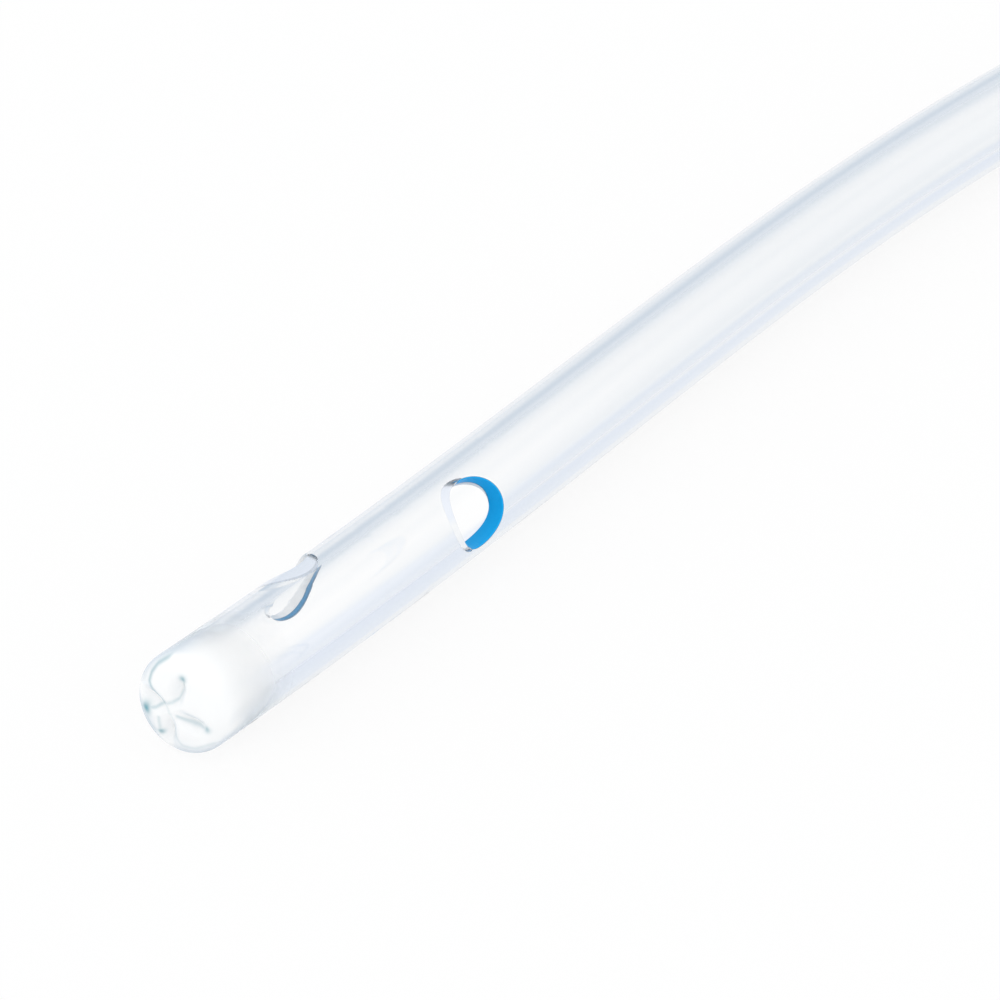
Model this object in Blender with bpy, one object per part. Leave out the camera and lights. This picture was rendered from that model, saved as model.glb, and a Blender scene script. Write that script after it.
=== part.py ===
"""A rectal tube lying at rest: a clear soft tube and the funnel connector bonded to it.

The tube is one extrusion. Its tip is closed and pressed into four rounded lobes, and two
oval eyes are punched through its wall behind the tip. The connector is one moulding with a
socket for the tube, a tapered bore and a rolled rim. The tip points to -X and the
connector's mouth to +X. The ground is Z = 0, and the origin is below the middle of the
whole object. All sizes are in metres.
"""

import math

import bmesh
import bpy
import numpy as np
from mathutils import Matrix, Vector

MM = 0.001

# Tube
TUBE_DIAMETER = 8.0 * MM
TUBE_WALL = 1.4 * MM
TUBE_LENGTH = 371.0 * MM

# Closed tip: a blunt hollow dome with four flutes pressed into it
TIP_LENGTH = 2.4 * MM
TIP_BLUNTNESS = 2.7
TIP_THICKNESS = 1.2 * MM
FLUTE_COUNT = 4
FLUTE_MIDDLE_DEPTH = 0.15 * MM
FLUTE_DEPTH = 0.8 * MM
FLUTE_WIDTH = 1.1 * MM
FLUTE_FULL_LENGTH = 2.1 * MM
FLUTE_END_LENGTH = 3.5 * MM
FLUTE_TURN = math.radians(15.0)

# Eyes: distance from the tip, and direction about the tube's axis from +Z towards -Y
EYES = {
    "front": {"distance": 17.9 * MM, "turn": math.radians(-61.0)},
    "rear": {"distance": 35.6 * MM, "turn": math.radians(65.0)},
}
EYE_LENGTH = 6.1 * MM
EYE_SIDE_LAND = 0.45 * MM
EYE_SIDE_FLARE = math.radians(18.0)

# Funnel connector
SOCKET_DEPTH = 15.0 * MM
SOCKET_WALL = 1.3 * MM
BOND_GAP = 0.3 * MM
STOP_LENGTH = 3.0 * MM
FUNNEL_LENGTH = 30.0 * MM
FUNNEL_WALL = 1.5 * MM
MOUTH_BORE = 9.6 * MM
RIM_DIAMETER = 14.2 * MM
RIM_WIDTH = 2.8 * MM
RIM_EDGE = 0.5 * MM
SOCKET_EDGE = 0.4 * MM

# Route of the tube's axis: share of the bent length, and offset to the left of straight
ROUTE = (
    (0.0, 0.0 * MM),
    (0.12, 0.4 * MM),
    (0.29, 2.25 * MM),
    (0.47, -2.3 * MM),
    (0.65, -18.0 * MM),
    (0.83, -30.0 * MM),
    (1.0, -34.0 * MM),
)
ROUTE_START_SLOPE = -0.02
STRAIGHT_END = 26.0 * MM
RISE_LENGTH = 80.0 * MM

# Fineness of the meshes
SIDES = 40
DOME_RINGS = 11
RING_SPACING = 12.0 * MM
FINE_SPACING = 0.85 * MM
GUIDE_SPACING = 3.0 * MM

TUBE_RADIUS = TUBE_DIAMETER / 2
LUMEN_RADIUS = TUBE_RADIUS - TUBE_WALL
TIP_END = TIP_LENGTH + FLUTE_END_LENGTH
SOCKET_BORE_RADIUS = TUBE_RADIUS + BOND_GAP
SOCKET_RADIUS = SOCKET_BORE_RADIUS + SOCKET_WALL
RIM_RADIUS = RIM_DIAMETER / 2
AXIS_REST_HEIGHT = max(RIM_RADIUS, SOCKET_RADIUS)
BENT_LENGTH = TUBE_LENGTH - SOCKET_DEPTH - STRAIGHT_END


def smooth_step(value, start, end):
    """Rise smoothly from 0 at start to 1 at end."""
    share = np.clip((value - start) / (end - start), 0.0, 1.0)
    return share * share * (3.0 - 2.0 * share)


def clamped_spline(knots, values, start_slope, end_slope, places):
    """Return the cubic spline through the knots, with the given slopes at its two ends."""
    steps = np.diff(knots)
    rises = np.diff(values) / steps
    count = len(knots)
    system = np.eye(count)
    target = np.zeros(count)
    target[0], target[-1] = start_slope, end_slope
    for i in range(1, count - 1):
        system[i, i - 1:i + 2] = steps[i], 2 * (steps[i - 1] + steps[i]), steps[i - 1]
        target[i] = 3 * (steps[i] * rises[i - 1] + steps[i - 1] * rises[i])
    slopes = np.linalg.solve(system, target)
    span = np.clip(np.searchsorted(knots, places) - 1, 0, count - 2)
    width = steps[span]
    t = (places - knots[span]) / width
    return ((1 + 2 * t) * (1 - t) ** 2 * values[span] + t * (1 - t) ** 2 * width * slopes[span]
            + t ** 2 * (3 - 2 * t) * values[span + 1] - t ** 2 * (1 - t) * width * slopes[span + 1])


def tube_axis():
    """Return points along the tube's axis, from the tip to past the connector's stop."""
    shares, offsets = np.array(ROUTE).T
    x = np.linspace(0.0, BENT_LENGTH, 400)
    y = clamped_spline(shares * BENT_LENGTH, offsets, ROUTE_START_SLOPE, 0.0, x)
    lift = smooth_step(x, BENT_LENGTH - RISE_LENGTH, BENT_LENGTH)
    z = TUBE_RADIUS + (AXIS_REST_HEIGHT - TUBE_RADIUS) * lift
    bent = np.stack([x, y, z], axis=1)
    lengths = np.concatenate([[0.0], np.cumsum(np.linalg.norm(np.diff(bent, axis=0), axis=1))])
    places = np.linspace(0.0, TUBE_LENGTH, round(TUBE_LENGTH / GUIDE_SPACING) + 1)
    points = np.stack([np.interp(places, lengths, bent[:, i]) for i in range(3)], axis=1)
    points[:, 0] += np.maximum(places - lengths[-1], 0.0)
    return points


def centred(points):
    """Move the axis so that the origin lies below the middle of the whole object."""
    mouth_x = points[-1, 0] + BOND_GAP + STOP_LENGTH + FUNNEL_LENGTH
    left = max(points[:, 1].max() + TUBE_RADIUS, points[-1, 1] + RIM_RADIUS)
    right = min(points[:, 1].min() - TUBE_RADIUS, points[-1, 1] - RIM_RADIUS)
    return points - np.array([mouth_x / 2, (left + right) / 2, 0.0])


def material(name, colour, roughness, transmission):
    """Make a Principled material of the given colour and clearness."""
    made = bpy.data.materials.new(name)
    made.use_nodes = True
    shader = made.node_tree.nodes["Principled BSDF"]
    shader.inputs["Base Color"].default_value = (*colour, 1.0)
    shader.inputs["Roughness"].default_value = roughness
    shader.inputs["Metallic"].default_value = 0.0
    shader.inputs["Transmission Weight"].default_value = transmission
    shader.inputs["IOR"].default_value = 1.53
    return made


def add_object(name, mesh):
    """Put a mesh into the scene as an object of its own."""
    made = bpy.data.objects.new(name, mesh)
    bpy.context.scene.collection.objects.link(made)
    return made


def loft(name, rings, closed):
    """Join rings of points with quads into a mesh.

    A ring of one point is a pole. Where closed is true the last ring joins the first.
    """
    shape = bmesh.new()
    rows = [[shape.verts.new(point) for point in ring] for ring in rings]
    pairs = list(zip(rows, rows[1:]))
    if closed:
        pairs.append((rows[-1], rows[0]))
    for row, following in pairs:
        for i in range(SIDES):
            j = (i + 1) % SIDES
            corners = [row[i % len(row)], row[j % len(row)]]
            corners += [following[j % len(following)], following[i % len(following)]]
            shape.faces.new(list(dict.fromkeys(corners)))
    bmesh.ops.recalc_face_normals(shape, faces=shape.faces)
    mesh = bpy.data.meshes.new(name)
    shape.to_mesh(mesh)
    shape.free()
    mesh.shade_smooth()
    mesh.set_sharp_from_angle(angle=math.radians(40))
    return mesh


def turned_rings(profile, turn=0.0):
    """Turn profile points (x, radius) about the X axis into rings."""
    angles = turn + np.arange(SIDES) * 2 * math.pi / SIDES
    return [[Vector((x, -radius * math.sin(a), radius * math.cos(a))) for a in angles]
            for x, radius in profile]


def spaced(start, end, spacing):
    """Return evenly spaced values from start to end, at most spacing apart."""
    return np.linspace(start, end, max(2, math.ceil((end - start) / spacing) + 1))


def dome(radius, front):
    """Return profile points (x, radius) of a blunt dome, from near its pole to its shoulder."""
    power = 2 / TIP_BLUNTNESS
    points = []
    for i in range(1, DOME_RINGS + 1):
        angle = math.pi / 2 * i / DOME_RINGS
        ahead = max(math.cos(angle), 0.0) ** power
        points.append((TIP_LENGTH - (TIP_LENGTH - front) * ahead, radius * math.sin(angle) ** power))
    return points


def press_flutes(profile, rings, radius, front):
    """Push the rings of one surface of the tip inward along the flutes, square to its dome.

    The flutes are shallow where they cross, deepen outwards and end at the dome's shoulder.
    """
    length = TIP_LENGTH - front
    scale = radius / TUBE_RADIUS
    pitch = 2 * math.pi / FLUTE_COUNT
    walked = 0.0
    before = (front, 0.0)
    for place, ring in zip(profile, rings):
        walked += math.dist(place, before)
        before = place
        depth = FLUTE_MIDDLE_DEPTH + (FLUTE_DEPTH - FLUTE_MIDDLE_DEPTH) * smooth_step(
            walked, 0.0, scale * FLUTE_FULL_LENGTH)
        depth *= 1 - smooth_step(walked, scale * FLUTE_FULL_LENGTH, scale * FLUTE_END_LENGTH)
        ahead = max((TIP_LENGTH - place[0]) / length, 0.0) ** (TIP_BLUNTNESS - 1) / length
        aside = (place[1] / radius) ** (TIP_BLUNTNESS - 1) / radius
        inward = Vector((ahead, -aside)).normalized()
        for i, point in enumerate(ring):
            angle = i * 2 * math.pi / SIDES
            nearest = (angle + pitch / 2) % pitch - pitch / 2
            beside = place[1] * math.sin(nearest)
            push = depth * math.exp(-(2 * beside / FLUTE_WIDTH) ** 2)
            outwards = Vector((0.0, point.y, point.z)).normalized()
            point += Vector((push * inward.x, 0.0, 0.0)) + outwards * push * inward.y


def tip_rings(radius, front):
    """Make the rings of the tip's skin or of its hollow, from its pole back past its shoulder."""
    profile = dome(radius, front)
    profile += [(x, radius) for x in spaced(TIP_LENGTH, TIP_END, FINE_SPACING)[1:]]
    rings = turned_rings(profile, FLUTE_TURN)
    press_flutes(profile, rings, radius, front)
    return [[Vector((front + FLUTE_MIDDLE_DEPTH, 0.0, 0.0))]] + rings


def tube_mesh():
    """Make the tube straight along +X from its tip, closed there and open at its far end."""
    places = spaced(TIP_END, TUBE_LENGTH, RING_SPACING)
    rings = tip_rings(TUBE_RADIUS, 0.0)
    rings += turned_rings([(x, TUBE_RADIUS) for x in places[1:]], FLUTE_TURN)
    rings += turned_rings([(x, LUMEN_RADIUS) for x in places[:0:-1]], FLUTE_TURN)
    rings += tip_rings(LUMEN_RADIUS, TIP_THICKNESS)[::-1]
    return loft("tube", rings, closed=False)


def add_eye_punch(name, distance, turn):
    """Add the oval punch of one eye, from the tube's axis to past the wall.

    Its sides meet the lumen a narrow land inside the lumen's full width, and flare from
    there outwards.
    """
    inner_width = LUMEN_RADIUS - EYE_SIDE_LAND
    inner_height = math.sqrt(LUMEN_RADIUS ** 2 - inner_width ** 2)
    punch = bmesh.new()
    ends = []
    for height in (0.0, TUBE_RADIUS + TUBE_WALL):
        width = inner_width + (height - inner_height) * math.tan(EYE_SIDE_FLARE)
        ring = []
        for i in range(SIDES):
            angle = (i + 0.5) * 2 * math.pi / SIDES
            ring.append(punch.verts.new((EYE_LENGTH / 2 * math.cos(angle),
                                         width * math.sin(angle), height)))
        ends.append(ring)
    for i in range(SIDES):
        j = (i + 1) % SIDES
        punch.faces.new((ends[0][i], ends[0][j], ends[1][j], ends[1][i]))
    punch.faces.new(reversed(ends[0]))
    punch.faces.new(ends[1])
    bmesh.ops.recalc_face_normals(punch, faces=punch.faces)
    mesh = bpy.data.meshes.new(name)
    punch.to_mesh(mesh)
    punch.free()
    made = add_object(name, mesh)
    made.matrix_world = Matrix.Translation((distance, 0.0, 0.0)) @ Matrix.Rotation(turn, 4, "X")
    made.hide_render = True
    made.display_type = "WIRE"
    return made


def add_guide(points):
    """Add the curve that the straight tube is bent along."""
    curve = bpy.data.curves.new("tube_route", "CURVE")
    curve.dimensions = "3D"
    curve.twist_mode = "Z_UP"
    spline = curve.splines.new("POLY")
    spline.points.add(len(points) - 1)
    for knot, point in zip(spline.points, points):
        knot.co = (*point, 1.0)
    made = add_object("tube_route", curve)
    made.hide_render = True
    made.display_type = "WIRE"
    return made


def add_tube(points):
    """Make the tube: the closed tip, the eyes punched through its wall, and its bends."""
    tube = add_object("tube", tube_mesh())
    tube.data.materials.append(material("clear_tube", (0.90, 0.95, 0.98), 0.08, 0.9))
    for name, eye in EYES.items():
        punch = add_eye_punch(f"{name}_eye_punch", eye["distance"], eye["turn"])
        cut = tube.modifiers.new(f"{name}_eye", "BOOLEAN")
        cut.operation = "DIFFERENCE"
        cut.solver = "EXACT"
        cut.object = punch
    bend = tube.modifiers.new("route", "CURVE")
    bend.object = add_guide(points)
    bend.deform_axis = "POS_X"
    return tube


def connector_profile():
    """Return the closed outline (x, radius) of the connector, from its socket's mouth."""
    stop = SOCKET_DEPTH + BOND_GAP
    throat = stop + STOP_LENGTH
    mouth = throat + FUNNEL_LENGTH
    neck = mouth - RIM_WIDTH
    waist = SOCKET_RADIUS - SOCKET_EDGE
    funnel = MOUTH_BORE / 2 + FUNNEL_WALL
    bead = RIM_RADIUS - funnel
    points = [(0.0, SOCKET_BORE_RADIUS + SOCKET_EDGE), (0.0, waist)]
    points += [(SOCKET_EDGE, SOCKET_RADIUS), (stop, SOCKET_RADIUS)]
    for share in (0.2, 0.4, 0.6, 0.8, 1.0):
        swell = share * share * (3 - 2 * share)
        points.append((stop + share * (neck - bead - stop),
                       SOCKET_RADIUS + (funnel - SOCKET_RADIUS) * swell))
    for turn in (30, 60, 90):
        angle = math.radians(turn)
        points.append((neck - bead * (1 - math.sin(angle)), RIM_RADIUS - bead * math.cos(angle)))
    points += [(mouth - RIM_EDGE, RIM_RADIUS), (mouth - RIM_EDGE * 0.3, RIM_RADIUS - RIM_EDGE * 0.3)]
    points += [(mouth, RIM_RADIUS - RIM_EDGE), (mouth, MOUTH_BORE / 2 + RIM_EDGE)]
    points += [(mouth - RIM_EDGE, MOUTH_BORE / 2), (throat, LUMEN_RADIUS), (stop, LUMEN_RADIUS)]
    points += [(stop, SOCKET_BORE_RADIUS), (SOCKET_EDGE, SOCKET_BORE_RADIUS)]
    return points


def add_connector(tube_end):
    """Make the funnel connector, with its socket over the tube's end."""
    mesh = loft("funnel_connector", turned_rings(connector_profile()), closed=True)
    connector = add_object("funnel_connector", mesh)
    connector.location = Vector(tube_end) - Vector((SOCKET_DEPTH, 0.0, 0.0))
    connector.data.materials.append(material("blue_connector", (0.35, 0.62, 0.85), 0.35, 0.4))
    return connector


def main():
    """Clear the scene and build the tube and its connector."""
    for old in list(bpy.data.objects):
        bpy.data.objects.remove(old, do_unlink=True)
    points = centred(tube_axis())
    add_tube(points)
    add_connector(points[-1])


main()
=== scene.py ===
"""Looks of the rectal tube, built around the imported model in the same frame.

The clear soft tube and the funnel connector are made again as smooth, fine surfaces in
the places of their solids. A white table, soft light and the camera stand round them.
"""

import logging
import math
from dataclasses import dataclass, field
from enum import Enum

import bmesh
import bpy
import numpy as np
from mathutils import Matrix, Vector


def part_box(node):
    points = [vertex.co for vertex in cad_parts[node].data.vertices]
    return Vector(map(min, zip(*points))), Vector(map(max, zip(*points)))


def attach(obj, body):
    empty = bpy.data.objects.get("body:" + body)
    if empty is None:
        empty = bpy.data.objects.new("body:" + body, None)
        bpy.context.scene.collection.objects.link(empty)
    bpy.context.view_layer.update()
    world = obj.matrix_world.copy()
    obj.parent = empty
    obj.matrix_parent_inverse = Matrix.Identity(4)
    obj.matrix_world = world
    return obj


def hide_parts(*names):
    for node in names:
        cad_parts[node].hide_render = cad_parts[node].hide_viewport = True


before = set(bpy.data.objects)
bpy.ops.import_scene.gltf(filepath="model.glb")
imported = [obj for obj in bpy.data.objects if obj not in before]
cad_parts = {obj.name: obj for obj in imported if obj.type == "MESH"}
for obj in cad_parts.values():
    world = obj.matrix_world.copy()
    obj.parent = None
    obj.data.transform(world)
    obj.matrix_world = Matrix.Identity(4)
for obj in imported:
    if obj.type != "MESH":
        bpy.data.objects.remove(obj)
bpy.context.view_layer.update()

MM = 0.001
MERGE_DISTANCE = 0.001 * MM
ROUNDING = 1e-9
LOG = logging.getLogger("rectal_tube")

Pair = tuple[float, float]
Triple = tuple[float, float, float]
Places = tuple[np.ndarray, np.ndarray]


class Mark(Enum):
    """The numbers that a surface carries for its material, one value at each vertex."""

    CUT = "cut_face"
    # Painted shade along the tip's creases.
    CREASE = "painted_crease_shade"
    HAZE = "moulded_haze"
    GHOST = "unseen_cut"
    # Where the painted rim shade is left out.
    MOUTH = "flute_mouth"
    PLACE = "straight_place"


# Shader maths


class Wire:
    """A shader socket that can be used in sums as a number is."""

    def __init__(self, kit: "NodeKit", socket: bpy.types.NodeSocket) -> None:
        self.kit = kit
        self.socket = socket

    def __add__(self, other: "Wire | float") -> "Wire":
        """Add a Math node for self + other."""
        return self.kit.math("ADD", self, other)

    def __mul__(self, other: "Wire | float") -> "Wire":
        """Add a Math node for self * other."""
        return self.kit.math("MULTIPLY", self, other)

    def __radd__(self, other: float) -> "Wire":
        """Add a Math node for other + self."""
        return self.kit.math("ADD", other, self)

    def __rsub__(self, other: float) -> "Wire":
        """Add a Math node for other - self."""
        return self.kit.math("SUBTRACT", other, self)

    def __rmul__(self, other: float) -> "Wire":
        """Add a Math node for other * self."""
        return self.kit.math("MULTIPLY", other, self)

    def clamped(self) -> "Wire":
        """Hold the value between 0 and 1."""
        return self.kit.node("ShaderNodeClamp", {}, {"Value": self})["Result"]


class Node:
    """A shader node whose outputs are read by name."""

    def __init__(self, kit: "NodeKit", node: bpy.types.Node) -> None:
        """Keep the node and its kit."""
        self.kit = kit
        self.node = node

    def __getitem__(self, name: "str | int") -> Wire:
        """Return the output of that name or number."""
        return Wire(self.kit, self.node.outputs[name])


class NodeKit:
    """Adds nodes to one node tree."""

    # The Mix node's sockets for colours. They share their names with those for numbers.
    FIRST_COLOUR, SECOND_COLOUR, COLOUR_RESULT = 6, 7, 2

    def __init__(self, tree: bpy.types.NodeTree) -> None:
        """Start with an emptied tree."""
        self.tree = tree
        tree.nodes.clear()

    def node(self, kind: str, settings: dict, values: dict) -> Node:
        """Add a node.

        Args:
            kind: Blender's type name of the node.
            settings: Its properties, which are set first.
            values: A value or a Wire for each input, by name or number.

        Returns:
            The new node.
        """
        made = self.tree.nodes.new(kind)
        for name, value in settings.items():
            setattr(made, name, value)
        for name, value in values.items():
            if isinstance(value, Wire):
                self.tree.links.new(value.socket, made.inputs[name])
            else:
                made.inputs[name].default_value = value
        return Node(self, made)

    def math(self, operation: str, first: "Wire | float", second: "Wire | float") -> Wire:
        """Add a Math node of that operation on the two values."""
        values = {0: first, 1: second}
        return self.node("ShaderNodeMath", {"operation": operation}, values)["Value"]

    def blend(self, share: "Wire | float", first: "Wire | tuple", second: "Wire | tuple") -> Wire:
        """Mix two colours: the first where share is 0 and the second where it is 1."""
        values = {0: share, self.FIRST_COLOUR: first, self.SECOND_COLOUR: second}
        return self.node("ShaderNodeMix", {"data_type": "RGBA"}, values)[self.COLOUR_RESULT]

    def mixed(self, share: "Wire | float", first: Wire, second: Wire) -> Wire:
        """Mix two shaders: the first where share is 0 and the second where it is 1."""
        return self.node("ShaderNodeMixShader", {}, {0: share, 1: first, 2: second})["Shader"]

    def span(self, value: Wire, start: float, end: float) -> Wire:
        """Rise smoothly from 0 where the value is start to 1 where it is end."""
        return self.node("ShaderNodeMapRange", {"interpolation_type": "SMOOTHSTEP"},
                         {"Value": value, "From Min": start, "From Max": end})["Result"]

    def mark(self, mark: Mark, output: str) -> Wire:
        """Read one of the numbers that the surface carries."""
        return self.node("ShaderNodeAttribute", {"attribute_name": mark.value}, {})[output]

    def finish(self, kind: str, inputs: dict) -> None:
        """Add the output node of that kind, fed as given."""
        self.node(kind, {}, inputs)


def opaque(colour: Triple) -> tuple:
    """Return the colour with an alpha of 1."""
    return (*colour, 1.0)


def new_material(name: str) -> tuple[bpy.types.Material, NodeKit]:
    made = bpy.data.materials.new(name)
    made.use_nodes = True
    return made, NodeKit(made.node_tree)


# Finishes


@dataclass(frozen=True)
class ClearVinyl:
    """Clear, glossy, soft vinyl, hazy where it was moulded, and blue in its depth at a cut."""

    tint: Triple = (0.997, 0.999, 1.0)
    # Painted shade: the glass turns grey-blue where the outer skin faces aside, towards its edge.
    painted_edge_shade: Triple = (0.72, 0.765, 0.815)
    painted_edge_shade_facing: Pair = (0.27, 0.5)
    skin_radii: Pair = (3.2 * MM, 3.8 * MM)
    haze_colour: Triple = (0.97, 0.98, 0.985)
    # Painted shade: the milky vinyl darkens towards its rim, where it faces aside.
    painted_rim_shade: Triple = (0.58, 0.68, 0.78)
    painted_rim_shade_facing: Pair = (0.35, 0.9)
    facing_blend: float = 0.5
    # Painted shade: the dark teal of the lines along the tip's creases.
    painted_crease_shade_colour: Triple = (0.12, 0.36, 0.44)
    cut_blue: Triple = (0.002, 0.42, 0.90)
    cut_edge: Triple = (0.012, 0.19, 0.38)
    cut_start: Pair = (0.0, 0.5)
    cut_middle: Pair = (0.5, 1.0)
    clearness: float = 1.0
    roughness: float = 0.025
    haze_roughness: float = 0.2
    cut_roughness: float = 0.45
    cut_gloss: float = 0.2
    ior: float = 1.53
    wave_stretch: Triple = (0.06, 1.0, 1.0)
    wave_scale: float = 420.0
    wave_detail: float = 2.0
    wave_strength: float = 0.04
    wave_height: float = 0.1 * MM

    def waves(self, kit: NodeKit, place: Wire) -> Wire:
        """Return the normals of the faint, long waves that drawing leaves along the tube."""
        stretched = kit.node("ShaderNodeMapping", {}, {
            "Vector": place, "Scale": self.wave_stretch})
        noise = kit.node("ShaderNodeTexNoise", {}, {
            "Vector": stretched["Vector"], "Scale": self.wave_scale, "Detail": self.wave_detail})
        return kit.node("ShaderNodeBump", {}, {
            "Height": noise["Fac"], "Strength": self.wave_strength,
            "Distance": self.wave_height})["Normal"]

    def clear(self, kit: NodeKit, place: Wire, aside: Wire, normal: Wire) -> Wire:
        """Return the clear vinyl's shader, with painted grey shade towards the outer skin's edge.
        """
        across = kit.node("ShaderNodeVectorMath", {"operation": "MULTIPLY"},
                          {0: place, 1: (0.0, 1.0, 1.0)})["Vector"]
        radius = kit.node("ShaderNodeVectorMath", {"operation": "LENGTH"}, {0: across})["Value"]
        # Where the painted edge shade lies: on the outer skin, where it faces aside.
        edge = kit.span(aside, *self.painted_edge_shade_facing) * kit.span(radius, *self.skin_radii)
        return kit.node("ShaderNodeBsdfPrincipled", {}, {
            "Base Color": kit.blend(edge, opaque(self.tint), opaque(self.painted_edge_shade)),
            "Roughness": self.roughness, "IOR": self.ior,
            "Transmission Weight": self.clearness, "Normal": normal})["BSDF"]

    def hazy(self, kit: NodeKit, aside: Wire, normal: Wire) -> Wire:
        """Return the shader of the milky vinyl, with painted shade at its rim and along its
        creases.
        """
        # Painted rim shade, left out in the flutes' mouths.
        rim_shade = kit.span(aside, *self.painted_rim_shade_facing) * (1.0 - kit.mark(Mark.MOUTH, "Fac"))
        milk = kit.blend(rim_shade, opaque(self.haze_colour), opaque(self.painted_rim_shade))
        # Painted shade along the tip's creases.
        crease_shade = kit.mark(Mark.CREASE, "Fac")
        return kit.node("ShaderNodeBsdfPrincipled", {}, {
            "Base Color": kit.blend(crease_shade, milk, opaque(self.painted_crease_shade_colour)),
            "Roughness": self.haze_roughness, "IOR": self.ior, "Normal": normal})["BSDF"]

    def blue(self, kit: NodeKit, cut: Wire) -> Wire:
        """Return the shader of a blue cut face, darker at the edge of the blue."""
        middle = kit.span(cut, *self.cut_middle)
        return kit.node("ShaderNodeBsdfPrincipled", {}, {
            "Base Color": kit.blend(middle, opaque(self.cut_edge), opaque(self.cut_blue)),
            "Roughness": self.cut_roughness, "Specular IOR Level": self.cut_gloss})["BSDF"]

    def material(self) -> bpy.types.Material:
        """Build the material.

        The clear vinyl is milky by one mark. By another it vanishes where the front of a
        cut can't be told from the vinyl round it, and by a third it is blue.

        Returns:
            The material.
        """
        made, kit = new_material("clear_vinyl")
        place = kit.mark(Mark.PLACE, "Vector")
        cut = kit.mark(Mark.CUT, "Fac")
        aside = kit.node("ShaderNodeLayerWeight", {}, {"Blend": self.facing_blend})["Facing"]
        normal = self.waves(kit, place)
        body = kit.mixed(kit.mark(Mark.HAZE, "Fac"), self.clear(kit, place, aside, normal),
                         self.hazy(kit, aside, normal))
        unseen = kit.node("ShaderNodeBsdfTransparent", {}, {})["BSDF"]
        body = kit.mixed(kit.mark(Mark.GHOST, "Fac"), body, unseen)
        both = kit.mixed(kit.span(cut, *self.cut_start), body, self.blue(kit, cut))
        kit.finish("ShaderNodeOutputMaterial", {"Surface": both})
        return made


@dataclass(frozen=True)
class TintedVinyl:
    """Translucent, satin, moulded vinyl with a faint flow pattern and a fine grain."""

    pale: Triple = (0.42, 0.68, 0.88)
    deep: Triple = (0.30, 0.58, 0.83)
    clearness: float = 0.45
    roughness: float = 0.29
    roughness_change: float = 0.1
    ior: float = 1.53
    flow_scale: float = 160.0
    flow_detail: float = 3.0
    grain_scale: float = 2600.0
    grain_detail: float = 2.0
    grain_strength: float = 0.12
    grain_height: float = 0.03 * MM

    def material(self) -> bpy.types.Material:
        """Build the material."""
        made, kit = new_material("tinted_vinyl")
        place = kit.node("ShaderNodeTexCoord", {}, {})["Object"]
        flow = kit.node("ShaderNodeTexNoise", {}, {
            "Vector": place, "Scale": self.flow_scale, "Detail": self.flow_detail})["Fac"]
        grain = kit.node("ShaderNodeTexNoise", {}, {
            "Vector": place, "Scale": self.grain_scale, "Detail": self.grain_detail})["Fac"]
        bump = kit.node("ShaderNodeBump", {}, {
            "Height": grain, "Strength": self.grain_strength, "Distance": self.grain_height})
        shader = kit.node("ShaderNodeBsdfPrincipled", {}, {
            "Base Color": kit.blend(flow, opaque(self.deep), opaque(self.pale)),
            "Roughness": self.roughness + self.roughness_change * flow, "IOR": self.ior,
            "Transmission Weight": self.clearness, "Normal": bump["Normal"]})
        kit.finish("ShaderNodeOutputMaterial", {"Surface": shader["BSDF"]})
        return made


# Surfaces


def smooth_step(value: np.ndarray, start: float, end: float) -> np.ndarray:
    """Rise from 0 at start to 1 at end as 3 t squared less 2 t cubed."""
    share = np.clip((value - start) / (end - start), 0.0, 1.0)
    return share * share * (3.0 - 2.0 * share)


def spaced(start: float, end: float, spacing: float) -> np.ndarray:
    """Return evenly spaced values from start to end, at most spacing apart."""
    steps = max(1, math.ceil((end - start) / spacing - ROUNDING))
    return np.linspace(start, end, steps + 1)


def turned(distance: np.ndarray, angle: np.ndarray, radius: np.ndarray) -> np.ndarray:
    """Place points round the X axis.

    A point lies distance along X, and radius away from the axis in the direction that is
    angle from +Z towards -Y: (distance, -radius sin angle, radius cos angle).

    Args:
        distance: Distances along X.
        angle: Angles in radians.
        radius: Distances from the axis.

    Returns:
        An array of points, of the arrays' common shape with a last axis of 3.
    """
    distance, angle, radius = np.broadcast_arrays(distance, angle, radius)
    return np.stack([distance, -radius * np.sin(angle), radius * np.cos(angle)], axis=-1)


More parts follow.
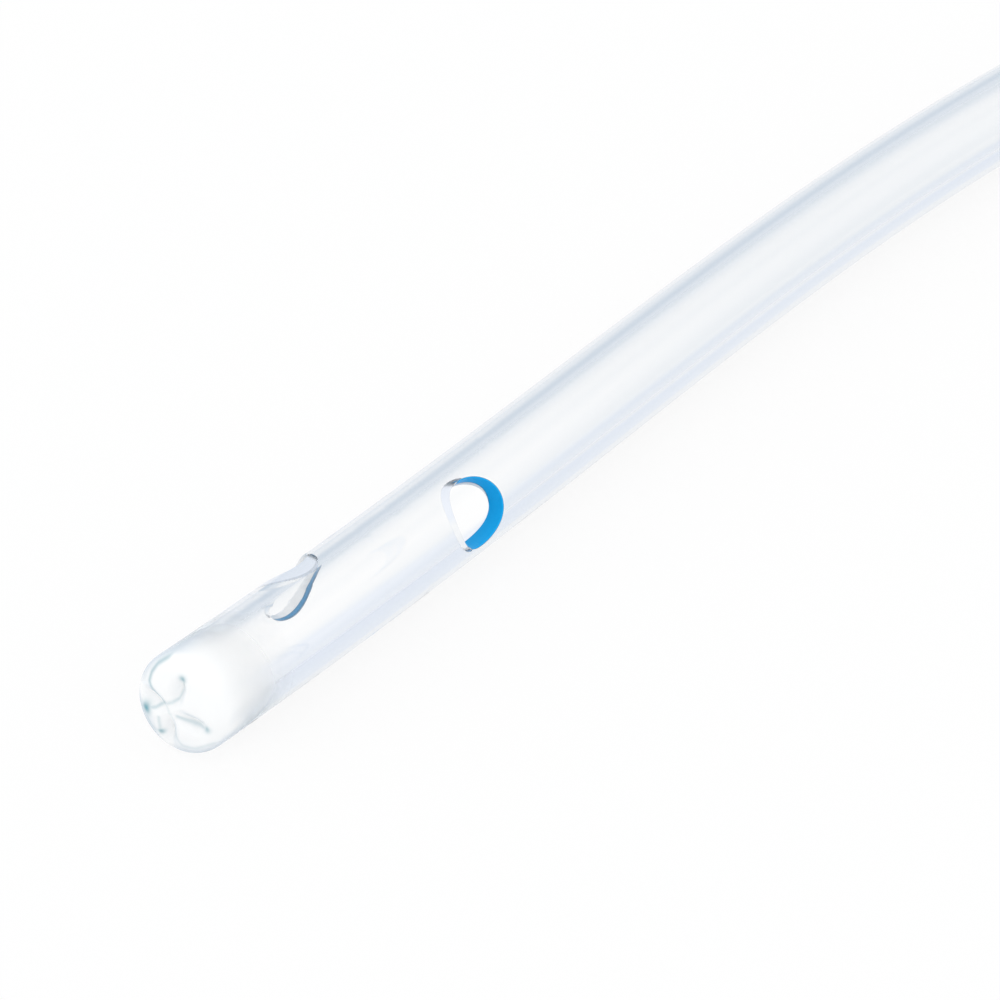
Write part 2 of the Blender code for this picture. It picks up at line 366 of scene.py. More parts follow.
class Skin:
    """A mesh that is gathered from grids of points whose borders meet."""

    def __init__(self, name: str) -> None:
        """Start with no points."""
        self.name = name
        self.points: list[np.ndarray] = []
        self.faces: list[np.ndarray] = []
        self.marks: dict[Mark, list] = {mark: [] for mark in Mark if mark is not Mark.PLACE}
        self.count = 0

    def add(self, points: np.ndarray, closed: bool,
            marks: "dict[Mark, np.ndarray] | None" = None) -> None:
        """Add a grid of points, with a quad between each four neighbours.

        Args:
            points: Rows of points, as an array of shape (rows, columns, 3).
            closed: Whether the last column joins the first.
            marks: The numbers that the points carry, of shape (rows, columns), where not 0.
        """
        rows, columns = points.shape[:2]
        index = self.count + np.arange(rows * columns).reshape(rows, columns)
        following = np.roll(index, -1, axis=1) if closed else index[:, 1:]
        here = index if closed else index[:, :-1]
        quads = np.stack([here[:-1], following[:-1], following[1:], here[1:]], axis=-1)
        self.points.append(points.reshape(-1, 3))
        self.faces.append(quads.reshape(-1, 4))
        for mark, parts in self.marks.items():
            values = (marks or {}).get(mark, np.zeros((1, 1)))
            parts.append(np.broadcast_to(values, (rows, columns)).ravel())
        self.count += rows * columns

    def piece(self, bend: "Route | None", material: bpy.types.Material) -> bpy.types.Object:
        """Make the object, bent along the route if there is one.

        Args:
            bend: The route, or None to leave the points as they are.
            material: The piece's material.

        Returns:
            The object, at the origin, with its faces outwards and shaded smooth.
        """
        straight = np.concatenate(self.points)
        places = bend.bent(straight) if bend else straight
        mesh = bpy.data.meshes.new(self.name)
        mesh.from_pydata(places.tolist(), [], np.concatenate(self.faces).tolist())
        for mark, values in self.marks.items():
            layer = mesh.attributes.new(mark.value, "FLOAT", "POINT")
            layer.data.foreach_set("value", np.concatenate(values).astype(np.float32))
        layer = mesh.attributes.new(Mark.PLACE.value, "FLOAT_VECTOR", "POINT")
        layer.data.foreach_set("vector", straight.astype(np.float32).ravel())
        self.mend(mesh)
        mesh.materials.append(material)
        mesh.shade_smooth()
        made = bpy.data.objects.new(self.name, mesh)
        bpy.context.scene.collection.objects.link(made)
        return made

    @staticmethod
    def mend(mesh: bpy.types.Mesh) -> None:
        """Merge the borders that meet, and turn the faces outwards."""
        shape = bmesh.new()
        shape.from_mesh(mesh)
        bmesh.ops.remove_doubles(shape, verts=shape.verts, dist=MERGE_DISTANCE)
        bmesh.ops.recalc_face_normals(shape, faces=shape.faces)
        shape.to_mesh(mesh)
        shape.free()
        mesh.update()


# Tube


@dataclass(frozen=True)
class Route:
    """The way that the tube's axis takes over the table.

    Seen from above it is a cubic spline through knots, which are offsets in millimetres to
    the left of straight at shares of the bent length. It lies on the table, rises smoothly
    over the last of the bent length to the connector's height and ends with a straight
    stretch. The table keeps its samples once they are made.
    """

    tube_length: float = 371.0 * MM
    radius: float = 4.0 * MM
    end_height: float = 7.1 * MM
    straight_end: float = 41.0 * MM
    spare_end: float = 5.0 * MM
    rise_length: float = 80.0 * MM
    start_slope: float = -0.02
    knots: tuple[Pair, ...] = ((0.0, 0.0), (0.12, 0.4), (0.29, 2.25), (0.47, -2.3),
                               (0.65, -18.0), (0.83, -30.0), (1.0, -34.0))
    bent_samples: int = 3301
    straight_samples: int = 300
    table: dict = field(default_factory=dict)

    def offset(self, share: np.ndarray, length: float) -> np.ndarray:
        """Return the spline's sideways offset.

        Between two knots it is the cubic that meets both, and the slopes at the knots are
        those that make its curvature run on, with the start's slope given and the end's 0.

        Args:
            share: Shares of the bent length.
            length: The bent length.

        Returns:
            The offsets, of the same shape.
        """
        knots, values = np.array(self.knots).T
        knots, values = knots * length, values * MM
        steps = np.diff(knots)
        rises = np.diff(values) / steps
        system = np.diag(np.concatenate([[1.0], 2 * (steps[:-1] + steps[1:]), [1.0]]))
        system += np.diag(np.concatenate([[0.0], steps[:-1]]), 1)
        system += np.diag(np.concatenate([steps[1:], [0.0]]), -1)
        inner = 3 * (steps[:-1] * rises[1:] + steps[1:] * rises[:-1])
        slopes = np.linalg.solve(system, np.concatenate([[self.start_slope], inner, [0.0]]))
        places = share * length
        span = np.clip(np.searchsorted(knots, places) - 1, 0, len(steps) - 1)
        width = steps[span]
        t = (places - knots[span]) / width
        return ((1 + 2 * t) * (1 - t) ** 2 * values[span]
                + t * (1 - t) ** 2 * width * slopes[span]
                + t ** 2 * (3 - 2 * t) * values[span + 1]
                - t ** 2 * (1 - t) * width * slopes[span + 1])

    def samples(self) -> tuple[np.ndarray, np.ndarray, np.ndarray]:
        """Sample the route, placed so that the tube's rear and left sides meet its solid's.

        Returns:
            Distances along the axis, its points there and its directions.
        """
        if not self.table:
            length = self.tube_length - self.straight_end
            share = np.linspace(0.0, 1.0, self.bent_samples)
            x = share * length
            lift = smooth_step(x, length - self.rise_length, length)
            z = self.radius + (self.end_height - self.radius) * lift
            points = np.stack([x, self.offset(share, length), z], axis=1)
            walked = np.cumsum(np.linalg.norm(np.diff(points, axis=0), axis=1))
            walked = np.concatenate([[0.0], walked])
            left_over = self.tube_length - walked[-1] + self.spare_end
            rest = np.linspace(0.0, left_over, self.straight_samples)[1:, None]
            points = np.concatenate([points, points[-1] + rest * np.array([1.0, 0.0, 0.0])])
            walked = np.concatenate([walked, walked[-1] + rest[:, 0]])
            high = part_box("tube")[1]
            ahead = np.gradient(points, walked, axis=0)
            ahead /= np.linalg.norm(ahead, axis=1, keepdims=True)
            points[:, 1] += high[1] - (points[:, 1] + self.radius).max()
            tube_end = np.interp(self.tube_length, walked, points[:, 0])
            points[:, 0] += high[0] - tube_end
            self.table.update(walked=walked, points=points, ahead=ahead)
        return self.table["walked"], self.table["points"], self.table["ahead"]

    def bent(self, straight: np.ndarray) -> np.ndarray:
        """Carry points from round the X axis to round the route.

        The cross-section at each distance stays square to the route, with its up direction
        in the upright plane through it.

        Args:
            straight: Points round the X axis, of shape (count, 3).

        Returns:
            The carried points.
        """
        walked, points, ahead = self.samples()
        distance = straight[:, 0]
        centre = np.stack([np.interp(distance, walked, points[:, i]) for i in range(3)], axis=1)
        forward = np.stack([np.interp(distance, walked, ahead[:, i]) for i in range(3)], axis=1)
        forward /= np.linalg.norm(forward, axis=1, keepdims=True)
        left = np.cross(np.array([0.0, 0.0, 1.0]), forward)
        left /= np.linalg.norm(left, axis=1, keepdims=True)
        up = np.cross(forward, left)
        return centre + left * straight[:, 1:2] + up * straight[:, 2:3]

    def point(self, distance: float) -> np.ndarray:
        """Return the point of the tube's axis at that distance from its front."""
        return self.bent(np.array([[distance, 0.0, 0.0]]))[0]


@dataclass(frozen=True)
class CutGlow:
    """Where the cut face of an eye shows the blue of the vinyl's depth."""

    lean: float = 0.0
    fade: Pair = (0.0, 0.35)
    shares: Pair = (-1.0, 2.0)
    softness: float = 0.12
    line: float = 0.0
    line_share: float = 0.9
    slimming: float = 0.0
    slim_fade: Pair = (-0.3, 1.0)
    strength: float = 1.0
    ghost_fade: Pair = (-0.55, -0.35)

    def mark(self, t: np.ndarray, share: np.ndarray) -> np.ndarray:
        """Return the mark of the blue: 1 at the rear of the cut and 0 at its front.

        It can be slimmer at the cut's upper side, and a fainter line can run all the way
        round next to the lumen.

        Args:
            t: The places round the ellipse, in radians.
            share: How far in from the skin, as shares of the wall.

        Returns:
            The marks, of shape (shares, places).
        """
        start, end = self.shares
        share = share[:, None]
        slim = end - self.slimming * smooth_step(-np.sin(t), *self.slim_fade)[None, :]
        across = smooth_step(share, start - self.softness, start)
        across = across * (1 - smooth_step(share, slim, slim + self.softness))
        found = self.strength * across * smooth_step(np.cos(t - self.lean), *self.fade)[None, :]
        return np.maximum(found, self.line * (share > self.line_share))

    def ghost(self, t: np.ndarray) -> np.ndarray:
        """Return the mark of the cut's front, which can't be told from the vinyl round it."""
        return 1 - smooth_step(np.cos(t - self.lean), *self.ghost_fade)[None, :]


@dataclass(frozen=True)
class Eye:
    """An oval eye through the tube's wall, its sides flaring outwards.

    At a height above the axis the punch is an ellipse of the same half length, and its
    half width grows with the height from half_width at the axis.
    """

    distance: float
    turn: float
    half_length: float
    half_width: float
    flare: float
    glow: CutGlow

    def edge(self, t: np.ndarray, radius: "np.ndarray | float", margin: float = 0.0) -> Places:
        """Follow the line where the punch's wall meets a cylinder round the axis.

        The half width at height h is w = (half_width + flare h) sin t, and w and h meet the
        cylinder where w squared and h squared sum to its radius squared.

        Args:
            t: The places round the ellipse, in radians.
            radius: The cylinder's radius.
            margin: How far outside the punch's wall the line runs.

        Returns:
            Distances along the axis, and angles round it.
        """
        side = np.sin(t)
        width = self.half_width + margin
        a = (side * self.flare) ** 2 + 1
        b = side ** 2 * self.flare * width
        c = (side * width) ** 2 - radius ** 2
        height = (-b + np.sqrt(np.maximum(b * b - a * c, 0.0))) / a
        across = side * (width + self.flare * height)
        along = np.cos(t) * (self.half_length + margin)
        return self.distance + along, self.turn + np.arctan2(across, height)


@dataclass(frozen=True)
class CreaseShadeLine:
    """A painted line of crease shade on the tip's front, or a dot where it has one place only.

    Its places are pairs of a distance from the axis in millimetres and an angle from
    straight up in degrees.
    """

    mark: float
    width: float
    places: tuple[Pair, ...]

    def marks(self, points: np.ndarray) -> np.ndarray:
        """Return the painted crease shade's marks, which fade with its bell curve.

        The distance to a stretch is that to its nearest point, which is its start plus a
        share, held between 0 and 1, of the way to its end.

        Args:
            points: The points as seen along the axis, of shape (rows, columns, 2).

        Returns:
            The marks, of shape (rows, columns).
        """
        radius, degrees = np.array(self.places).T
        angle = np.radians(degrees)
        knots = np.stack([radius * np.cos(angle), radius * np.sin(angle)], axis=1) * MM
        nearest = np.full(points.shape[:2], np.inf)
        for start, end in zip(knots, np.concatenate([knots[1:], knots[-1:]])):
            way = end - start
            size = max(float(way @ way), 1e-12)
            share = np.clip((points - start) @ way / size, 0.0, 1.0)
            gap = np.linalg.norm(points - start - share[..., None] * way, axis=-1)
            nearest = np.minimum(nearest, gap)
        return self.mark * np.exp(-(nearest / self.width) ** 2)


@dataclass(frozen=True)
class Tip:
    """The closed tip: a blunt dome with four pressed flutes that cross at its middle."""

    length: float = 2.4 * MM
    thickness: float = 1.2 * MM
    bluntness: float = 2.7
    flute_count: int = 4
    middle_depth: float = 0.15 * MM
    flute_depth: float = 0.8 * MM
    flute_width: float = 1.1 * MM
    flute_full: float = 2.1 * MM
    flute_end: float = 3.5 * MM
    flute_turn: float = math.radians(15.0)
    # Painted shade: dark lines and dots along the creases and lobe edges of the tip's front.
    crease_shade_lines: tuple[CreaseShadeLine, ...] = (
        CreaseShadeLine(0.32, 0.13 * MM, ((0.88, 305), (0.75, 0), (1.24, 23), (2.06, 21), (2.85, 15))),
        CreaseShadeLine(0.40, 0.13 * MM, ((0.88, 305), (1.58, 264), (2.57, 260))),
        CreaseShadeLine(0.18, 0.14 * MM, ((0.88, 305), (0.24, 227), (0.85, 170), (2.03, 172), (2.8, 165),
                                 (3.24, 148), (3.68, 124))),
        CreaseShadeLine(0.30, 0.14 * MM, ((1.42, 236), (2.0, 218), (2.58, 210))),
        CreaseShadeLine(0.22, 0.12 * MM, ((2.57, 260), (2.69, 250), (2.81, 228), (2.58, 210))),
        CreaseShadeLine(0.34, 0.14 * MM, ((0.5, 120), (1.11, 114), (1.87, 111), (3.01, 105))),
        CreaseShadeLine(0.52, 0.17 * MM, ((0.88, 305), (1.53, 307), (2.26, 306), (2.83, 310), (3.26, 320),
                                 (3.62, 331), (3.9, 344))),
        CreaseShadeLine(0.75, 0.28 * MM, ((2.85, 15),)), CreaseShadeLine(0.6, 0.28 * MM, ((2.95, 105),)),
        CreaseShadeLine(0.75, 0.25 * MM, ((2.45, 210),)), CreaseShadeLine(1.0, 0.45 * MM, ((2.5, 259),)))
    haze: float = 0.96
    haze_places: Pair = (1.2 * MM, 10.4 * MM)
    mouth_width: float = 1.5 * MM
    dome_rows: int = 50
    side_rows: int = 24

    def reach(self) -> float:
        """Return how far back the flutes run."""
        return self.length + self.flute_end

    def milk(self, distance: np.ndarray) -> np.ndarray:
        """Return how hazy the vinyl is at those distances from the tube's front."""
        return self.haze * (1 - smooth_step(distance, *self.haze_places))

    def profile(self, radius: float, start: float) -> Places:
        """Follow a dome from its pole, over its shoulder, to where the flutes have ended.

        The dome is the superellipse on which (1 - distance / length) and the radius's
        share, both raised to the bluntness, sum to 1.

        Args:
            radius: The radius at the shoulder.
            start: How far the pole lies behind the tube's front.

        Returns:
            Distances along the axis and distances from it.
        """
        angle = np.linspace(0.0, math.pi / 2, self.dome_rows + 1)
        power = 2 / self.bluntness
        ahead = np.maximum(np.cos(angle), 0.0) ** power
        side = np.linspace(self.length, self.reach(), self.side_rows + 1)[1:]
        x = np.concatenate([self.length - (self.length - start) * ahead, side])
        return x, np.concatenate([radius * np.sin(angle) ** power, np.full(len(side), radius)])

    def skin(self, angles: np.ndarray, radius: float, start: float, scale: float) -> tuple:
        """Make one surface of the tip, from its pole to where the flutes have ended.

        Each point is pushed in, square to the dome, by the flute's depth times the bell
        curve of its distance from the nearest flute's middle line. The flutes are shallow
        where they cross, deepen outwards and end at the dome's shoulder.

        Args:
            angles: The angles of the columns.
            radius: The surface's radius behind the tip.
            start: How far its pole lies behind the tube's front.
            scale: The flutes' length here, as a share of their length on the outside.

        Returns:
            The grid of points, and the marks that they carry.
        """
        x, r = self.profile(radius, start)
        walked = np.concatenate([[0.0], np.cumsum(np.hypot(np.diff(x), np.diff(r)))])
        power = self.bluntness - 1
        length = self.length - start
        ahead = np.clip((self.length - x) / length, 0.0, 1.0) ** power / length
        aside = (r / radius) ** power / radius
        size = np.hypot(ahead, aside)
        pitch = 2 * math.pi / self.flute_count
        nearest = (angles - self.flute_turn + pitch / 2) % pitch - pitch / 2
        beside = r[:, None] * np.sin(nearest)[None, :]
        depth = self.middle_depth + (self.flute_depth - self.middle_depth) * smooth_step(
            walked, 0.0, scale * self.flute_full)
        depth *= 1 - smooth_step(walked, scale * self.flute_full, scale * self.flute_end)
        push = depth[:, None] * np.exp(-(2 * beside / self.flute_width) ** 2)
        distance = x[:, None] + push * (ahead / size)[:, None]
        out = np.maximum(r[:, None] - push * (aside / size)[:, None], 0.0)
        seen = out[..., None] * np.stack([np.cos(angles), np.sin(angles)], axis=-1)
        # Painted crease shade, faded out towards the dome's shoulder.
        drawn = np.max([crease_shade.marks(seen) for crease_shade in self.crease_shade_lines], axis=0)
        drawn *= 1 - smooth_step(x, 0.5 * self.length, self.length)[:, None]
        # Where the painted rim shade is left out: the flutes' mouths at the front.
        mouth = np.exp(-(2 * beside / self.mouth_width) ** 2)
        return turned(distance, angles[None, :], out), {
            Mark.CREASE: drawn, Mark.HAZE: self.milk(x)[:, None],
            Mark.MOUTH: mouth * (1 - smooth_step(x, self.length, 2 * self.length))[:, None]}


@dataclass(frozen=True)
class Tube:
    """The clear tube: its skin, its lumen, the closed tip and the two eyes."""

    route: Route = field(default_factory=Route)
    tip: Tip = field(default_factory=Tip)
    radius: float = 4.0 * MM
    wall: float = 1.4 * MM
    eye_places: tuple[Pair, ...] = ((17.9 * MM, math.radians(-61.0)),
                                    (35.6 * MM, math.radians(65.0)))
    eye_length: float = 6.1 * MM
    eye_side_land: float = 0.45 * MM
    eye_flare: float = math.tan(math.radians(18.0))
    outer_round: float = 0.12 * MM
    lumen_round: float = 0.04 * MM
    collar_reach: float = 7.0 * MM
    collar_rows: int = 12
    collar_growth: float = 1.35
    collar_columns: int = 44
    collar_half: int = 36
    round_rows: int = 5
    cut_rows: int = 15
    cut_glows: tuple[CutGlow, ...] = (
        CutGlow(shares=(0.73, 0.96), softness=0.08, lean=-0.8, fade=(-0.1, 0.2), line=0.16,
                strength=0.7, ghost_fade=(-0.3, -0.1)),
        CutGlow(shares=(-1.0, 0.97), lean=0.3, fade=(-0.4, -0.2), slimming=0.42))
    cut_haze: float = 0.96
    mark_rise: float = 3.0
    sides: int = 160
    row_spacing: float = 3.4 * MM
    finish: ClearVinyl = field(default_factory=ClearVinyl)

    @property
    def lumen(self) -> float:
        """The lumen's radius."""
        return self.radius - self.wall

    def angles(self) -> np.ndarray:
        """Return the angles of the skin's columns."""
        return self.tip.flute_turn + np.arange(self.sides) * 2 * math.pi / self.sides

    def eyes(self) -> list[Eye]:
        """Return the eyes, with the punch's sizes given at the axis's height."""
        width = self.lumen - self.eye_side_land
        width -= self.eye_flare * math.sqrt(self.lumen ** 2 - width ** 2)
        return [Eye(distance, turn, self.eye_length / 2, width, self.eye_flare, glow)
                for (distance, turn), glow in zip(self.eye_places, self.cut_glows)]

    def add_barrel(self, skin: Skin, start: float, end: float, radius: float) -> None:
        """Add a plain stretch of the tube's skin or lumen between two distances."""
        rows = spaced(start, end, self.row_spacing)[:, None]
        skin.add(turned(rows, self.angles()[None, :], radius), closed=True,
                 marks={Mark.HAZE: self.tip.milk(rows)})

    def collar_border(self, eye: Eye) -> Places:
        """Follow the border of the patch round an eye, along the columns that bound it.

        Args:
            eye: The eye.

        Returns:
            Distances along the axis and angles round it, in order round the patch.
        """
        step = 2 * math.pi / self.sides
        middle = round((eye.turn - self.tip.flute_turn) / step)
        reach = np.arange(-self.collar_half, self.collar_half)
        angle = self.tip.flute_turn + (middle + reach) * step
        top = angle[-1] + step
        along = np.linspace(1.0, -1.0, self.collar_columns + 1)[:-1] * self.collar_reach
        right = np.full(len(angle), self.collar_reach)
        distance = np.concatenate([right, along, -right, -along])
        turns = np.concatenate([angle, np.full(len(along), top), (angle + step)[::-1],
                                np.full(len(along), angle[0])])
        return eye.distance + distance, turns

    def add_collar(self, skin: Skin, eye: Eye, radius: float, margin: float) -> None:
        """Add a stretch of skin or lumen with the hole of an eye in it.

        The patch round the hole runs in rings from the hole's edge to the patch's border,
        closer together near the edge. The rest of the stretch is plain.

        Args:
            skin: The skin to add to.
            eye: The eye.
            radius: The radius of the skin or lumen.
            margin: How far outside the punch's wall the hole's rounded edge starts.
        """
        distance, angle = self.collar_border(eye)
        t = self.edge_places(eye)
        edge_distance, edge_angle = eye.edge(t, radius, margin)
        share = (np.linspace(0.0, 1.0, self.collar_rows + 1) ** self.collar_growth)[:, None]
        rings = turned(edge_distance + (distance - edge_distance) * share,
                       edge_angle + (angle - edge_angle) * share, radius)
        skin.add(rings, closed=True)
        rows = np.linspace(-1.0, 1.0, self.collar_columns + 1)[:, None] * self.collar_reach
        step = 2 * math.pi / self.sides
        columns = angle.max() + step * np.arange(self.sides - 2 * self.collar_half + 1)
        skin.add(turned(eye.distance + rows, columns[None, :], radius), closed=False)

    def edge_places(self, eye: Eye) -> np.ndarray:
        """Return the places round the punch's ellipse that face the border's points."""
        distance, angle = self.collar_border(eye)
        return np.arctan2((angle - eye.turn) * self.radius, distance - eye.distance)

    def add_cut(self, skin: Skin, eye: Eye) -> None:
        """Add the punched wall of an eye, with rounded edges at the skin and the lumen.

        An edge is the curve that leaves the skin along its surface, bends round the sharp
        corner and runs into the punched wall: (1-s)^2 start + 2 s (1-s) corner + s^2 end.
        The marks start at 0 where the cut meets the skin and the lumen, as theirs are 0.

        Args:
            skin: The skin to add to.
            eye: The eye.
        """
        t = self.edge_places(eye)

        def line(radius: float, margin: float = 0.0) -> np.ndarray:
            """Return the points of the punch's line on a cylinder."""
            distance, angle = eye.edge(t, radius, margin)
            return turned(distance, angle, radius)

        s = np.linspace(0.0, 1.0, self.round_rows)[:, None, None]
        outer, inner = self.outer_round, self.lumen_round
        top = ((1 - s) ** 2 * line(self.radius, outer) + 2 * s * (1 - s) * line(self.radius)
               + s ** 2 * line(self.radius - outer))
        low = ((1 - s) ** 2 * line(self.lumen + inner) + 2 * s * (1 - s) * line(self.lumen)
               + s ** 2 * line(self.lumen, inner))
        depths = np.linspace(self.radius - outer, self.lumen + inner, self.cut_rows)
        wall = np.stack([line(depth) for depth in depths])
        shares = np.linspace(0.0, 1.0, self.cut_rows)
        rise = np.linspace(0.0, self.mark_rise, self.round_rows).clip(0.0, 1.0)
        for grid, share, part in ((top, np.zeros(self.round_rows), rise),
                                  (wall, shares, np.ones(self.cut_rows)),
                                  (low, np.ones(self.round_rows), rise[::-1])):
            part = part[:, None]
            marks = {Mark.CUT: part * eye.glow.mark(t, share), Mark.HAZE: part * self.cut_haze,
                     Mark.GHOST: part * eye.glow.ghost(t)}
            skin.add(grid, closed=True, marks=marks)

    def build(self) -> bpy.types.Object:
        """Build the tube as one closed surface and put it in the place of its solid.

        Returns:
            The tube.
        """
        skin = Skin("clear_tube")
        eyes = self.eyes()
        for radius, margin, front in ((self.radius, self.outer_round, 0.0),
                                      (self.lumen, self.lumen_round, self.tip.thickness)):
            points, marks = self.tip.skin(self.angles(), radius, front, radius / self.radius)
            skin.add(points, closed=True, marks=marks)
            start = self.tip.reach()
            for eye in eyes:
                self.add_barrel(skin, start, eye.distance - self.collar_reach, radius)
                self.add_collar(skin, eye, radius, margin)
                start = eye.distance + self.collar_reach
            self.add_barrel(skin, start, self.route.tube_length, radius)
        for eye in eyes:
            self.add_cut(skin, eye)
        rims = np.array([[self.radius], [self.lumen]])
        skin.add(turned(np.full((2, 1), self.route.tube_length), self.angles()[None, :], rims),
                 closed=True)
        made = skin.piece(self.route, self.finish.material())
        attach(made, "root")
        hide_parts("tube")
        return made


# Connector


@dataclass(frozen=True)
class FunnelConnector:
    """The moulded funnel over the tube's rear end."""

    end: Triple
    tube_radius: float = 4.0 * MM
    lumen: float = 2.6 * MM
    bond_gap: float = 0.3 * MM
    socket_depth: float = 15.0 * MM
    socket_wall: float = 1.3 * MM
    socket_edge: float = 0.4 * MM
    stop_length: float = 3.0 * MM
    funnel_length: float = 30.0 * MM
    funnel_wall: float = 1.5 * MM
    mouth_bore: float = 9.6 * MM
    rim_radius: float = 7.1 * MM
    rim_width: float = 2.8 * MM
    rim_edge: float = 0.5 * MM
    edge_points: int = 9
    body_points: int = 25
    sharp_angle: float = math.radians(35.0)
    sides: int = 128
    finish: TintedVinyl = field(default_factory=TintedVinyl)

    def outline(self) -> np.ndarray:
        """Return the closed outline of the wall as rows of distance and radius."""
        bore = self.tube_radius + self.bond_gap
        socket = bore + self.socket_wall
        stop = self.socket_depth + self.bond_gap
        throat = stop + self.stop_length
        mouth = throat + self.funnel_length
        neck = mouth - self.rim_width
        funnel = self.mouth_bore / 2 + self.funnel_wall
        bead = self.rim_radius - funnel
        edge = self.socket_edge
        quarter = np.linspace(0.0, math.pi / 2, self.edge_points)
        swell = np.linspace(0.0, 1.0, self.body_points)
        body_end = neck - bead
        lead = np.stack([edge * (1 - np.cos(quarter)), bore + edge * (1 - np.sin(quarter))], 1)
        lip = np.stack([edge * (1 - np.sin(quarter)), socket - edge * (1 - np.cos(quarter))], 1)
        side = np.stack([stop + swell * (body_end - stop),
                         socket + (funnel - socket) * smooth_step(swell, 0.0, 1.0)], 1)
        hollow = np.stack([body_end + bead * np.sin(quarter),
                           self.rim_radius - bead * np.cos(quarter)], 1)
        r = self.rim_edge
        outer_rim = np.stack([mouth - r * (1 - np.sin(quarter)),
                              self.rim_radius - r * (1 - np.cos(quarter))], 1)
        inner_rim = np.stack([mouth - r * (1 - np.cos(quarter)),
                              self.mouth_bore / 2 + r * (1 - np.sin(quarter))], 1)
        inside = np.array([[throat, self.lumen], [stop, self.lumen], [stop, bore]])
        return np.concatenate([lip[::-1], side, hollow, outer_rim, inner_rim, inside, lead[::-1]])

    def build(self) -> bpy.types.Object:
        """Turn the outline about the tube's end and put it in the place of its solid.

        Returns:
            The connector.
        """
        outline = self.outline()
        outline = np.concatenate([outline, outline[:1]])
        angles = np.arange(self.sides) * 2 * math.pi / self.sides
        points = turned(outline[:, :1], angles[None, :], outline[:, 1:])
        start = np.array(self.end) - np.array([self.socket_depth, 0.0, 0.0])
        skin = Skin("funnel_connector_body")
        skin.add(points + start, closed=True)
        made = skin.piece(None, self.finish.material())
        made.data.set_sharp_from_angle(angle=self.sharp_angle)
        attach(made, "root")
        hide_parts("funnel_connector")
        return made


# Studio


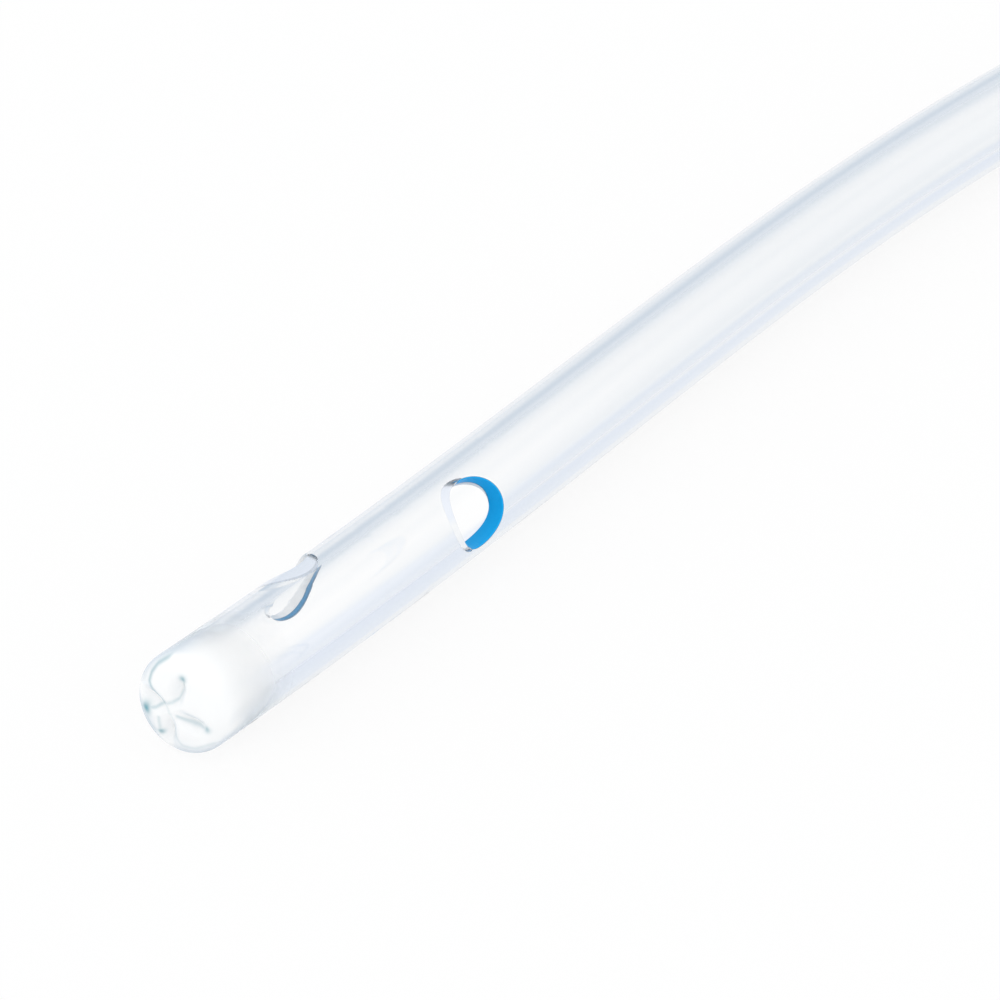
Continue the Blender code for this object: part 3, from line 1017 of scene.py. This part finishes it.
@dataclass(frozen=True)
class Studio:
    """White table, soft light and the camera, which stands in front of the tube's tip."""

    tip: Triple
    lens: float = 190.0
    sensor: float = 36.0
    view_end: float = 100.0
    camera_from_tip: Triple = (-263.7 * MM, -202.6 * MM, 197.9 * MM)
    azimuth: float = math.radians(-56.6)
    elevation: float = math.radians(28.0)
    floor_half: float = 6.0
    floor_colour: Triple = (0.9, 0.9, 0.9)
    glow_share: float = 0.9
    bounces: int = 48
    soft_bounces: int = 12
    white: Triple = (1.0, 1.0, 1.0)
    room_light: Triple = (1.12, 1.12, 1.12)
    ground: Triple = (0.875, 0.915, 0.99)
    bands: tuple[tuple[float, float, Triple], ...] = (
        (-37.0, -33.0, (1.0, 1.0, 1.0)), (-14.0, 4.0, (0.68, 0.75, 0.825)),
        (7.0, 17.0, (0.82, 0.865, 0.915)), (20.0, 30.0, (1.0, 1.0, 1.0)),
        (40.0, 80.0, (0.92, 0.94, 0.98)))

    def add_camera(self) -> None:
        """Add the camera, level and looking down at the tip's end of the tube."""
        data = bpy.data.cameras.new("camera")
        data.lens = self.lens
        data.sensor_width = self.sensor
        data.clip_end = self.view_end
        made = bpy.data.objects.new("camera", data)
        bpy.context.scene.collection.objects.link(made)
        back = Vector((math.sin(self.azimuth) * math.cos(self.elevation),
                       -math.cos(self.azimuth) * math.cos(self.elevation),
                       math.sin(self.elevation)))
        place = Vector((self.tip[0], self.tip[1], 0.0)) + Vector(self.camera_from_tip)
        turn = back.to_track_quat("Z", "Y").to_matrix().to_4x4()
        made.matrix_world = Matrix.Translation(place) @ turn
        bpy.context.scene.camera = made

    def add_floor(self) -> None:
        """Add the white table.

        It glows for the camera and for reflections, apart from the share that keeps its
        shadows. Light that has passed through the tube goes on through it to the world.
        """
        skin = Skin("table_top")
        side = np.linspace(-self.floor_half, self.floor_half, 3)
        x, y = np.meshgrid(side, side, indexing="xy")
        skin.add(np.stack([x, y, np.zeros_like(x)], axis=-1), closed=False)
        material, kit = new_material("white_table")
        path = kit.node("ShaderNodeLightPath", {}, {})
        seen = (path["Is Camera Ray"] + path["Is Glossy Ray"]).clamped() * self.glow_share
        matt = kit.node("ShaderNodeBsdfDiffuse", {}, {"Color": opaque(self.floor_colour)})
        glow = kit.node("ShaderNodeEmission", {}, {"Color": opaque(self.white), "Strength": 1.0})
        through = kit.node("ShaderNodeBsdfTransparent", {}, {})
        table = kit.mixed(seen, matt["BSDF"], glow["Emission"])
        both = kit.mixed(path["Is Transmission Ray"], table, through["BSDF"])
        kit.finish("ShaderNodeOutputMaterial", {"Surface": both})
        floor = skin.piece(None, material)

    def add_world(self) -> None:
        """Add a world of soft bands from the ground up, and even light for dull surfaces.

        A band is the pair of heights, in degrees, between which the colour changes to it.
        """
        world = bpy.data.worlds.new("studio_room")
        bpy.context.scene.world = world
        world.use_nodes = True
        kit = NodeKit(world.node_tree)
        direction = kit.node("ShaderNodeTexCoord", {}, {})["Generated"]
        height = kit.node("ShaderNodeSeparateXYZ", {}, {"Vector": direction})["Z"]
        colour = opaque(self.ground)
        for start, end, following in self.bands:
            limits = (math.sin(math.radians(start)), math.sin(math.radians(end)))
            colour = kit.blend(kit.span(height, *limits), colour, opaque(following))
        path = kit.node("ShaderNodeLightPath", {}, {})
        colour = kit.blend(path["Is Diffuse Ray"], colour, opaque(self.room_light))
        glow = kit.node("ShaderNodeBackground", {}, {"Color": colour, "Strength": 1.0})
        kit.finish("ShaderNodeOutputWorld", {"Surface": glow["Background"]})

    def build(self) -> None:
        """Set up the camera, the table and the light."""
        self.add_camera()
        self.add_floor()
        self.add_world()
        bpy.context.scene.view_settings.view_transform = "Standard"
        cycles = bpy.context.scene.cycles
        cycles.max_bounces = self.bounces
        cycles.transmission_bounces = self.bounces
        cycles.glossy_bounces = self.bounces
        cycles.diffuse_bounces = self.soft_bounces


def main() -> None:
    """Build the tube, its connector and the studio."""
    logging.basicConfig(level=logging.INFO, format="%(name)s: %(message)s")
    tube = Tube()
    made = tube.build()
    LOG.info("%s: %d faces", made.name, len(made.data.polygons))
    connector = FunnelConnector(tuple(tube.route.point(tube.route.tube_length))).build()
    LOG.info("%s: %d faces", connector.name, len(connector.data.polygons))
    Studio(tuple(tube.route.point(0.0))).build()


if __name__ == "__main__":
    main()
